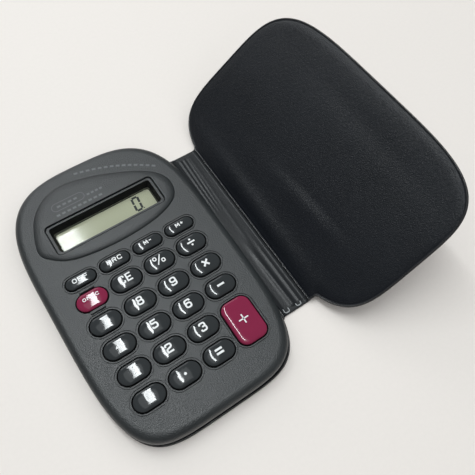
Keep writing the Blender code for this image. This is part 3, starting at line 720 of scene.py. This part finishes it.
def front_blank():
    """The front shell without its pod, holes and bosses."""
    low = PARTING_Z + PARTING_GAP
    inner = edge_rings(CASE_WALL, FACE_Z - FRONT_PLATE, EDGE_ROUND_IN - CASE_WALL,
                       EDGE_ROUND_DOWN - FRONT_PLATE, 3)
    lip = [(case_outline(-CASE_WALL), low), (case_outline(-PARTING_BREAK), low),
           (case_outline(0.0), low + PARTING_BREAK)]
    return loft("case_front", inner[::-1] + lip + edge_rings(0.0, FACE_Z, EDGE_ROUND_IN, EDGE_ROUND_DOWN, 12))


def pod_dome():
    rings = [(POD, FACE_Z - FRONT_PLATE / 2), (POD, FACE_Z)]
    for step in range(1, 13):
        angle = math.pi / 2 * step / 12
        rings.append((grown(POD, -POD_ROUND * (1 - math.cos(angle))), FACE_Z + POD_HEIGHT * math.sin(angle)))
    return loft("pod", rings)


def opening_wall():
    """The wall under the front plate that holds the display's stack."""
    outline = rounded([side + 2 * OPENING_WALL for side in OPENING_FLOOR], 2.2, DISPLAY_PLACE)
    return loft("opening_wall", [(outline, FACE_Z - OPENING_DEPTH), (outline, FACE_Z - FRONT_PLATE / 2)])


def guard_rib(side):
    """A low rib beside the power key, so that it isn't pressed by chance."""
    place = (plan_middle(POWER_KEY)[0], side * GUARD_OFFSET_Y)
    top = GUARD_SIZE[2]
    section = ((0.0, -FRONT_PLATE / 2), (0.0, top - GUARD_ROUND), (0.07, top - 0.07), (GUARD_ROUND, top))
    return loft("guard", [(rounded((GUARD_SIZE[0] - 2 * inset, GUARD_SIZE[1] - 2 * inset), 0.3 - inset * 0.7,
                                   place, 4), FACE_Z + rise) for inset, rise in section])


def opening_cutter():
    """The drafted opening, the seam round its ledge, and the ledge's well in the pod."""
    section = [(OPENING_FLOOR, 0.0, 1.2, -OPENING_DEPTH - 1.0), (OPENING_FLOOR, 0.0, 1.2, -OPENING_DEPTH),
               (OPENING_SIZE, 0.0, 1.2, LEDGE_HEIGHT - 0.2), (OPENING_SIZE, 0.125, 1.3, LEDGE_HEIGHT)]
    for growth, rise in ((-SEAM_WIDTH, LEDGE_HEIGHT), (-SEAM_WIDTH, LEDGE_HEIGHT - SEAM_DEPTH),
                         (0.0, LEDGE_HEIGHT - SEAM_DEPTH), (0.0, POD_HEIGHT - 0.14),
                         (0.06, POD_HEIGHT - 0.04), (0.17, POD_HEIGHT), (0.17, POD_HEIGHT + 2)):
        section.append((LEDGE_SIZE, growth, WELL_CORNER + growth, rise))
    return loft("opening", [(rounded(np.array(size) + 2 * growth, radius, DISPLAY_PLACE), FACE_Z + rise)
                            for size, growth, radius, rise in section])


def shade_front(shell):
    """Painted shade: the dark material on the sides of the key holes and inside the display's opening and
    seam.
    """
    field_top = DISPLAY_PLACE[1] - LEDGE_SIZE[1]
    ledge = np.array(LEDGE_SIZE) / 2 + 0.05
    for face in shell.data.polygons:
        x, y, z = np.array(face.center) / MM
        in_field = y < field_top and abs(x) < CASE_HALF_WIDTH - 2 * EDGE_ROUND_IN
        in_hole = FACE_Z - FRONT_PLATE - 0.05 < z < FACE_Z - KEY_SHADE and abs(face.normal.z) < 0.5
        in_ledge = np.all(np.abs(np.array([x, y]) - DISPLAY_PLACE) < ledge)
        in_opening = in_ledge and -OPENING_DEPTH < z - FACE_Z < LEDGE_HEIGHT - 0.02 and face.normal.z > -0.3
        if in_opening or in_hole and in_field:
            face.material_index = 1


def make_case_front():
    shell = front_blank()
    added = [pod_dome(), opening_wall(), guard_rib(1), guard_rib(-1)]
    for place in SCREWS:
        boss = circle(FRONT_BOSS_RADIUS, place)
        added.append(loft("boss", [(boss, PARTING_Z - 0.05), (boss, FACE_Z - FRONT_PLATE / 2)]))
    boolean(shell, added, "UNION")
    cutters = [opening_cutter()] + [hole_cutter(name) for name in KEY_NAMES]
    for place in SCREWS:
        pilot = circle(PILOT_RADIUS, place)
        cutters.append(loft("pilot", [(pilot, PARTING_Z - 1.0), (pilot, FACE_Z - SCREW_REACH + SCREW_SLACK)]))
    boolean(shell, [joined("cutters", cutters)], "DIFFERENCE")
    # The power key's groove would meet its guard ribs. The others nearly touch, so each cuts on its own.
    boolean(shell, [groove_cutter(name) for name in KEY_NAMES if name != POWER_KEY], "DIFFERENCE")
    # The second material is painted shade, laid on the key holes' walls and inside the display's opening.
    refinish(shell, SHELL, SHADE_PAINT)
    shade_front(shell)
    own(smooth(shell, 28, True), "case", "front_shell", "front_shell")


def make_case_back():
    floor, seat = BACK_Z + BACK_FLOOR, BACK_Z + 1.2
    low_edge = edge_rings(0.0, BACK_Z, BACK_EDGE_ROUND, -BACK_EDGE_ROUND, 8)
    rings = [(case_outline(-CASE_WALL - 0.8), floor), (case_outline(-CASE_WALL), floor + 0.8),
             (case_outline(-CASE_WALL), PARTING_Z), (case_outline(-PARTING_BREAK), PARTING_Z),
             (case_outline(0.0), PARTING_Z - PARTING_BREAK)]
    shell = loft("case_back", rings + low_edge)
    bosses, bores = [], []
    for place in SCREWS:
        boss = circle(BACK_BOSS_RADIUS, place)
        bosses.append(loft("boss", [(boss, floor - BACK_FLOOR / 2), (boss, PARTING_Z - 0.2)]))
        head, shaft = (circle(radius + SCREW_SLACK, place) for radius in (SCREW_HEAD_RADIUS, SCREW_RADIUS))
        bores.append(loft("bore", [(head, BACK_Z - 1), (head, seat), (shaft, seat), (shaft, PARTING_Z + 1)]))
    boolean(shell, bosses, "UNION")
    boolean(shell, [joined("bores", bores)], "DIFFERENCE")
    refinish(shell, BACK)
    own(smooth(shell, 28, True), "case", "back_shell", "back_shell")


make_case_front()
make_case_back()


def level(height):
    return lambda points: np.full(len(points), height)


def dashes(start, end, count, bend=0.0, share=0.62):
    """Short plain dashes along a shallow arc."""
    start, end = np.array(start), np.array(end)
    side = np.array([-(end - start)[1], (end - start)[0]]) / np.linalg.norm(end - start)

    def at(t):
        return start + (end - start) * t + side * bend * 4 * t * (1 - t)

    return [np.array([at((place + part * share) / count) for part in (0.0, 0.5, 1.0)])
            for place in range(count)]


PRINT_THICK = 0.012
DASH_WIDTH = 0.85


def make_shell_print():
    """Plain generic marks: a pill outline, and rows of dashes in place of lettering."""
    pod_top, face = level(FACE_Z + POD_HEIGHT), level(FACE_Z)
    pill = even_points(rounded((13.2, 3.4), 1.7, (-10.1, 39.8)), 64)
    strokes = [ribbon(pill, 0.2, True, pod_top, PRINT_THICK)]
    rows = (((-14.6, 39.8), (-5.6, 39.8), 4, 0.0, pod_top), ((-2.6, 39.0), (4.4, 39.0), 4, 0.0, pod_top),
            ((-16.3, 36.3), (3.3, 36.3), 9, 0.0, pod_top), ((-2.6, 50.9), (27.4, 36.9), 14, 2.1, face))
    for start, end, count, bend, height in rows:
        for line in dashes(start, end, count, bend):
            strokes.append(ribbon(line, DASH_WIDTH, False, height, PRINT_THICK))
    own(smooth(joined("case_print", strokes, GREY_INK)), "case", "front_shell")


make_shell_print()


# -------------------- display

LCD_FACE_Z = cad("lcd_glass")[1][2]
DIGIT_PLACE, DIGIT_SIZE, DIGIT_LEAN = np.array((11.0, 24.9)), np.array((2.5, 5.9)), 0.09
SEGMENT_WIDTH, SEGMENT_CUT = 0.9, 0.22


def make_segments():
    """A seven-segment nought and its point, on the face of the liquid crystal cell."""
    (wide, tall), cut, face = DIGIT_SIZE, SEGMENT_CUT, level(LCD_FACE_Z + 0.03)
    shapes = [((cut, height), (wide - cut, height)) for height in (0.0, tall)]
    for side in (0.0, wide):
        shapes += [((side, base + cut), (side, base + tall / 2 - cut)) for base in (0.0, tall / 2)]
    strokes = []
    for shape in shapes:
        line = np.array(shape)
        line[:, 0] += line[:, 1] * DIGIT_LEAN
        strokes.append(ribbon(line + DIGIT_PLACE, SEGMENT_WIDTH, False, face, 0.01))
    strokes.append(dot(DIGIT_PLACE + (3.15, -0.05), 0.3, face, 0.01, 4))
    own(smooth(joined("lcd_digit", strokes, DARK_LCD)), "case", "lcd_glass")


def make_gasket_shade():
    """The thin black foam frame that closes the gap between the cell and the opening's wall; its black is
    also painted shade at the wall's foot.
    """
    path = even_points(rounded([side - 0.3 for side in OPENING_FLOOR], 1.1, DISPLAY_PLACE), 120)
    frame_line = ribbon(path, 0.36, True, level(LCD_FACE_Z + 0.07), 0.07)
    own(smooth(joined("lcd_gasket_shade", [frame_line], SHADE_FOAM)), "case", "lcd_glass")


make_segments()
make_gasket_shade()


# -------------------- cover

FOLD_1, FOLD_2 = (np.array(JOINTS[name]["pos_m"]) / MM for name in ("spine_fold", "flap_fold"))
FLAP_ANGLE = -math.radians(JOINTS["flap_fold"]["range_deg"][0])
LEAF_MID = LEAF_THICK / 2
RIM_HALF = 0.4
RIM_WIDTH = 1.0
RIM_ROUND = 0.4
RIM_INSETS = (0.0, 0.12, 0.35, 0.6, 0.8, 0.9, 1.0, 1.1, 1.25, 1.5, 1.9, 2.5, 3.3, 4.4, 6.0)
INNER_RINGS = 25
WELD_DEPTH = 0.12
SWELL_WIDTH = 3.2
LEAST_RISE = 0.02
LEAST_GAP = 0.004
BEAD_RADIUS, BEAD_HALF_HEIGHT, BEAD_SIDES = 0.38, RIM_HALF + 0.13, 12
CURVED_POINTS, STRAIGHT_POINTS = 170, 52


def cut_straight(outline, edge, half_span):
    """A leaf's outline as a round part and a straight +X side of fixed counts of points."""
    beside = (outline[:, 0] > 0) & (np.abs(outline[:, 1]) < half_span)
    start = int(np.argmax(beside & ~np.roll(beside, -1)))
    curved = np.roll(outline, -start - 1, axis=0)[:len(outline) - int(beside.sum())]
    high, low = np.array([(edge, half_span)]), np.array([(edge, -half_span)])
    return np.vstack([even_line(np.vstack([high, curved, low]), CURVED_POINTS),
                      even_line(np.vstack([low, high]), STRAIGHT_POINTS)[1:-1]])


def back_leaf(inset):
    outline = case_outline(COVER_MARGIN - inset, 400) + (COVER_SHIFT_X, 0.0)
    return cut_straight(outline, FOLD_1[0] - 0.55 - inset, SPINE_HALF_LENGTH - inset)


def flap_leaf(inset):
    """The flap as it lies flat, pointing along +X from its fold."""
    reach = FLAP_HALF_LENGTH - inset
    outline = superellipse(FLAP_HALF_WIDTH - inset, (reach, reach), (FLAP_POWER, FLAP_POWER), count=400)
    skew = math.radians(FLAP_SKEW_ANGLE)
    across, along = outline[:, 0] - FLAP_HALF_WIDTH, outline[:, 1]
    turned = np.stack([across * math.cos(skew) + along * math.sin(skew) + FLAP_HALF_WIDTH,
                       along * math.cos(skew) - across * math.sin(skew) + FLAP_SHIFT_Y], axis=1)
    leaf = cut_straight(turned, FLAP_HALF_WIDTH - inset, SPINE_HALF_LENGTH - inset)
    return np.stack([FOLD_2[0] + 0.45 + FLAP_HALF_WIDTH - leaf[:, 0], leaf[:, 1]], axis=1)


def step_up(value, start, end):
    t = np.clip((value - start) / (end - start), 0, 1)
    return t * t * (3 - 2 * t)


def rim_share(inset):
    """The height of the rim's rounded edge, as a share of its full height."""
    return math.sqrt(max(0.0, 1 - (1 - min(inset, RIM_ROUND) / RIM_ROUND) ** 2))


def body_lift(inset):
    """How far the padded body stands out from the welded rim's middle, on each side."""
    if inset < RIM_ROUND:
        return max(RIM_HALF * rim_share(inset), LEAST_RISE)
    weld = WELD_DEPTH * math.exp(-((inset - RIM_WIDTH) / 0.25) ** 2)
    swell = float(step_up(inset, RIM_WIDTH - 0.4, RIM_WIDTH + SWELL_WIDTH))
    return RIM_HALF + (LEAF_THICK / 2 - RIM_HALF) * swell - weld


def leaf_layers(outline_of, shape):
    """The two welded sheets of a leaf, as ring lists: the outer skin below and the lining above."""
    flat = [(outline_of(inset), inset) for inset in RIM_INSETS]
    last = flat[-1][0]
    middle = last.mean(axis=0)
    flat += [(middle + (last - middle) * share, RIM_INSETS[-1])
             for share in np.linspace(1.0, 0.0, INNER_RINGS + 2)[1:-1]]
    skins = []
    for sign, thick in ((-1, SKIN), (1, LINING)):
        outer, inner = [], []
        for outline, inset in flat:
            lift = body_lift(inset) + (shape(outline, inset) if sign > 0 else 0.0)
            outer.append(raised(outline, LEAF_MID + sign * lift))
            inner.append(raised(outline, LEAF_MID + sign * np.maximum(lift - thick, LEAST_GAP)))
        skins.append(inner[::-1] + outer)
    return skins


def placed(rings, angle, pivot):
    """Rings turned up about the flap's fold."""
    turn = np.array(Matrix.Rotation(-angle, 3, "Y"))
    return [(ring - pivot) @ turn.T + pivot for ring in rings]


def ridge(x, y, at_x, lean, before, after):
    """A soft ridge's share of its height, with its line along Y and a width on each side of it."""
    off = x - at_x - lean * y
    return np.exp(-(off / np.where(off > 0, after, before)) ** 2)


# height, place along X, lean, width before and after; place and reach along Y
FLAP_RIDGES = (((0.6, 7.0, 0.02, 3.2, 3.2), (4.0, 38.0)), ((0.42, 21.6, -0.05, 5.0, 2.5), (-11.0, 18.0)),
               ((-0.08, 25.6, -0.05, 0.9, 0.9), (-12.0, 15.0)), ((-0.2, 58.0, 0.0, 4.5, 4.5), (-4.0, 34.0)))


def flap_relief(points, inset):
    """Soft ridges, a long crease and slight slack in the flap's lining."""
    x, y = points[:, 0] - FOLD_2[0], points[:, 1]
    total = 0.07 * np.sin(x / 8.0 + 0.6) * np.sin(y / 17.0 + 1.0) - 0.08
    for (height, *line), (at_y, reach) in FLAP_RIDGES:
        total += height * ridge(x, y, *line) * np.exp(-((y - at_y) / reach) ** 2)
    return step_up(inset, 2.0, 4.4) * total


def make_leaf(prefix, outline_of, body, shape, angle, pivot):
    for rings, finish, end in zip(leaf_layers(outline_of, shape), (VINYL, LINER), ("skin", "lining")):
        made = loft("%s_%s_sheet" % (prefix, end), placed(rings, angle, pivot), finish)
        own(smooth(made, 60), body, "vinyl_" + end, "%s_%s" % (prefix, end))


def make_bead(name, outline_of, body, slot, angle, pivot):
    """The glossy bead that the weld leaves round a leaf's edge."""
    outline = outline_of(RIM_ROUND)
    side = outward(outline)
    rings = []
    for turn in np.linspace(0, 2 * math.pi, BEAD_SIDES, endpoint=False):
        rings.append(raised(outline + side * BEAD_RADIUS * math.cos(turn),
                            LEAF_MID + BEAD_HALF_HEIGHT * math.sin(turn)))
    own(smooth(ring_solid(name, placed(rings, angle, pivot), BEAD), 60), body, slot)


def strip_line(start, start_angle, end, end_angle, count):
    """A smooth curve in X and Z between two points with given slopes."""
    start, end = np.array(start), np.array(end)
    pull = np.linalg.norm(end - start)
    first = start + pull / 3 * np.array([math.cos(start_angle), math.sin(start_angle)])
    second = end - pull / 3 * np.array([math.cos(end_angle), math.sin(end_angle)])
    t = np.linspace(0, 1, count)[:, None]
    return start * (1 - t) ** 3 + 3 * first * t * (1 - t) ** 2 + 3 * second * t ** 2 * (1 - t) + end * t ** 3


def spine_relief(x, y):
    """A long fold that stands up towards the near end, and fine ones that fan out at the far end."""
    inside = step_up(x, FOLD_1[0] + 0.3, FOLD_1[0] + 1.6) * (1 - step_up(x, FOLD_2[0] - 1.6, FOLD_2[0] - 0.4))
    near, far = step_up(-y, 2.0, 26.0), step_up(y, 6.0, 24.0)
    fold = 0.42 * near * ridge(x, y, 40.3, -0.02, 1.1, 1.1)
    beside = 0.2 * near * ridge(x, y, 44.0, 0.0, 0.7, 0.7)
    fan = 0.07 * far * np.cos((x - 36.8) * (4.4 - 0.045 * (y - 15.0))) * (1 - step_up(x, 40.0, 43.0))
    seam = 0.05 * (1 - near) * ridge(x, y, 42.0, 0.03, 0.7, 0.7)
    slack = 0.02 * np.sin(y / 6.0 + x / 3.0)
    total = fold + beside + fan + seam + slack
    return total * inside * (1 - step_up(np.abs(y), SPINE_HALF_LENGTH - 2.6, SPINE_HALF_LENGTH - 1.2))


END_STEPS = (0.1, 0.3, 1.0, 1.6)
END_WELD = 1.5


def strip_places():
    """Where a strip has a row of points along Y, with more rows near its two welded ends."""
    ends = [side * (SPINE_HALF_LENGTH - part) for side in (-1, 1) for part in END_STEPS]
    return np.sort(np.concatenate([np.linspace(-SPINE_HALF_LENGTH, SPINE_HALF_LENGTH, 121), ends]))


def make_strip(name, line, finish, low, high):
    """A strip of one sheet along a curved section; low and high are heights over its middle line."""
    slope = np.gradient(line, axis=0)
    slope /= np.linalg.norm(slope, axis=1)[:, None]
    normal = np.stack([-slope[:, 1], slope[:, 0]], axis=1)
    rows, rings = len(line), []
    for y in strip_places():
        near_end = SPINE_HALF_LENGTH - abs(y)
        weld = 1 - 0.3 * math.exp(-((near_end - END_WELD) / 0.3) ** 2)
        sides = []
        for lift in (low, high):
            rise = np.full(rows, lift * max(rim_share(near_end) * weld, LEAST_RISE))
            if low > 0:
                rise += spine_relief(line[:, 0], y)
            spot = line + normal * rise[:, None]
            sides.append(np.column_stack([spot[:, 0], np.full(rows, y), spot[:, 1]]))
        rings.append(np.vstack([sides[0], sides[1][::-1]]))
    return smooth(loft(name, rings, finish), 60)


def make_spine():
    """The spine's two sheets, each in two strips that curve round a fold as it rests and meet in the middle.
    """
    middle = (FOLD_1[0] + FOLD_2[0]) / 2
    flat_z = FOLD_1[2]
    turn = np.array([math.cos(FLAP_ANGLE), math.sin(FLAP_ANGLE)])
    flap_edge = FOLD_2[[0, 2]] + turn * 0.5
    flap_edge += np.array([-turn[1], turn[0]]) * (LEAF_MID - FOLD_2[2])
    flat_start, flat_end = (FOLD_1[0] + 1.0, flat_z), (FOLD_2[0] - 1.0, flat_z)
    first = np.vstack([strip_line((FOLD_1[0] - 0.6, LEAF_MID), -0.15, flat_start, 0.0, 12)[:-1],
                       strip_line(flat_start, 0.0, (middle, flat_z), 0.0, 24)])
    second = np.vstack([strip_line((middle, flat_z), 0.0, flat_end, 0.0, 24)[:-1],
                        strip_line(flat_end, 0.0, flap_edge, FLAP_ANGLE, 14)])
    parts = ((first, "fold_1", ("case", "cover_spine"), (FOLD_1[0] - 0.45, FOLD_1[0] + 0.75)),
             (second, "fold_2", ("cover_spine", "cover_flap"), (FOLD_2[0] - 0.6, FOLD_2[0] + 0.45)))
    for line, end, bodies, (near_x, far_x) in parts:
        for sheet, finish, low, high in (("skin", VINYL, -RIM_HALF, 0.0), ("lining", SPINE, 0.01, RIM_HALF)):
            made = make_strip("spine_%s_%s" % (sheet, end), line, finish, low, high)
            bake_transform(made)
            if end == "fold_1":
                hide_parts("cover_spine_" + sheet)


def make_weld_marks():
    """The small U-shaped heat marks that close the spine's near end; their light grey is a painted highlight
    for their glints.
    """
    top = level(FOLD_1[2] + RIM_HALF + 0.02)
    strokes = []
    for x in (37.6, 43.0):
        path = softened([(x - 1.0, -38.0), (x - 1.0, -39.9), (x + 1.0, -39.9), (x + 1.0, -38.4)], 0.8, False)
        strokes.append(ribbon(path, 0.32, False, top, 0.09))
    own(smooth(joined("spine_weld_marks", strokes, WELD_GLINT)), "cover_spine", "vinyl_lining")


still = np.zeros(3)
make_leaf("cover_back", back_leaf, "case", lambda points, inset: np.zeros(len(points)), 0.0, still)
make_leaf("cover_flap", flap_leaf, "cover_flap", flap_relief, FLAP_ANGLE, FOLD_2)
make_bead("cover_back_edge", back_leaf, "case", "vinyl_skin", 0.0, still)
make_bead("cover_flap_edge", flap_leaf, "cover_flap", "vinyl_skin", FLAP_ANGLE, FOLD_2)
make_spine()
make_weld_marks()


# -------------------- stage, light and camera

TABLE = look("table_top", (0.835, 0.79, 0.745), 0.6, grain=700, bump=0.01, spread=0.012,
             rough_spread=0.02, patch=6)
TABLE_HALF, TABLE_Z = 900.0, -0.02


def make_floor():
    corners = [(x * TABLE_HALF, y * TABLE_HALF, TABLE_Z) for x, y in ((-1, -1), (1, -1), (1, 1), (-1, 1))]
    raw("floor", corners, [(0, 1, 2, 3)], TABLE)


def area_light(name, low, high, height, radiance, color, glossy=True, turn=0.0):
    """A flat panel over the table, from low to high in metres, that gives an even radiance."""
    data = bpy.data.lights.new(name, "AREA")
    data.shape = "RECTANGLE"
    data.size, data.size_y = high[0] - low[0], high[1] - low[1]
    data.energy = radiance * math.pi * data.size * data.size_y
    data.color = color
    lamp = bpy.data.objects.new(name, data)
    lamp.location = ((low[0] + high[0]) / 2, (low[1] + high[1]) / 2, height)
    lamp.rotation_euler[0] = -math.radians(turn)
    lamp.visible_glossy = glossy
    bpy.context.scene.collection.objects.link(lamp)


def make_light():
    """A narrow bright tube over the table in a broad soft room."""
    cool, soft = (0.94, 0.985, 1.0), (0.98, 0.99, 1.0)
    area_light("tube", (-0.016, -0.1), (0.040, 0.85), 1.0, 28.0, cool)
    area_light("tube_glow", (-0.25, -0.35), (0.15, 0.40), 1.02, 0.8, cool)
    area_light("ceiling", (-1.1, -1.9), (2.3, 1.5), 1.2, 0.66, soft, False)
    area_light("far_wall", (-0.8, 1.7), (0.8, 2.7), 1.1, 1.6, soft, turn=60.0)
    world = bpy.data.worlds.new("soft_room")
    world.use_nodes = True
    air = world.node_tree.nodes["Background"].inputs
    air["Color"].default_value = (0.97, 0.985, 1.0, 1.0)
    air["Strength"].default_value = 0.14
    bpy.context.scene.world = world


def make_camera():
    """The view from over the near left corner, looking down at the keys."""
    across, up, back = (0.8282, -0.5576, 0.0571), (0.4779, 0.7557, 0.4479), (-0.2929, -0.3436, 0.8923)
    place = (-0.02227, -0.07615, 0.18788)
    data = bpy.data.cameras.new("camera")
    data.sensor_width, data.lens = 36.0, 40.186
    data.clip_start, data.clip_end = 0.01, 10.0
    camera = bpy.data.objects.new("camera", data)
    turn = Matrix((across, up, back)).transposed().to_4x4()
    camera.matrix_world = Matrix.Translation(place) @ turn
    bpy.context.scene.collection.objects.link(camera)
    bpy.context.scene.camera = camera


make_floor()
make_light()
make_camera()
bpy.context.scene.view_settings.view_transform = "Standard"

bpy.context.view_layer.update()
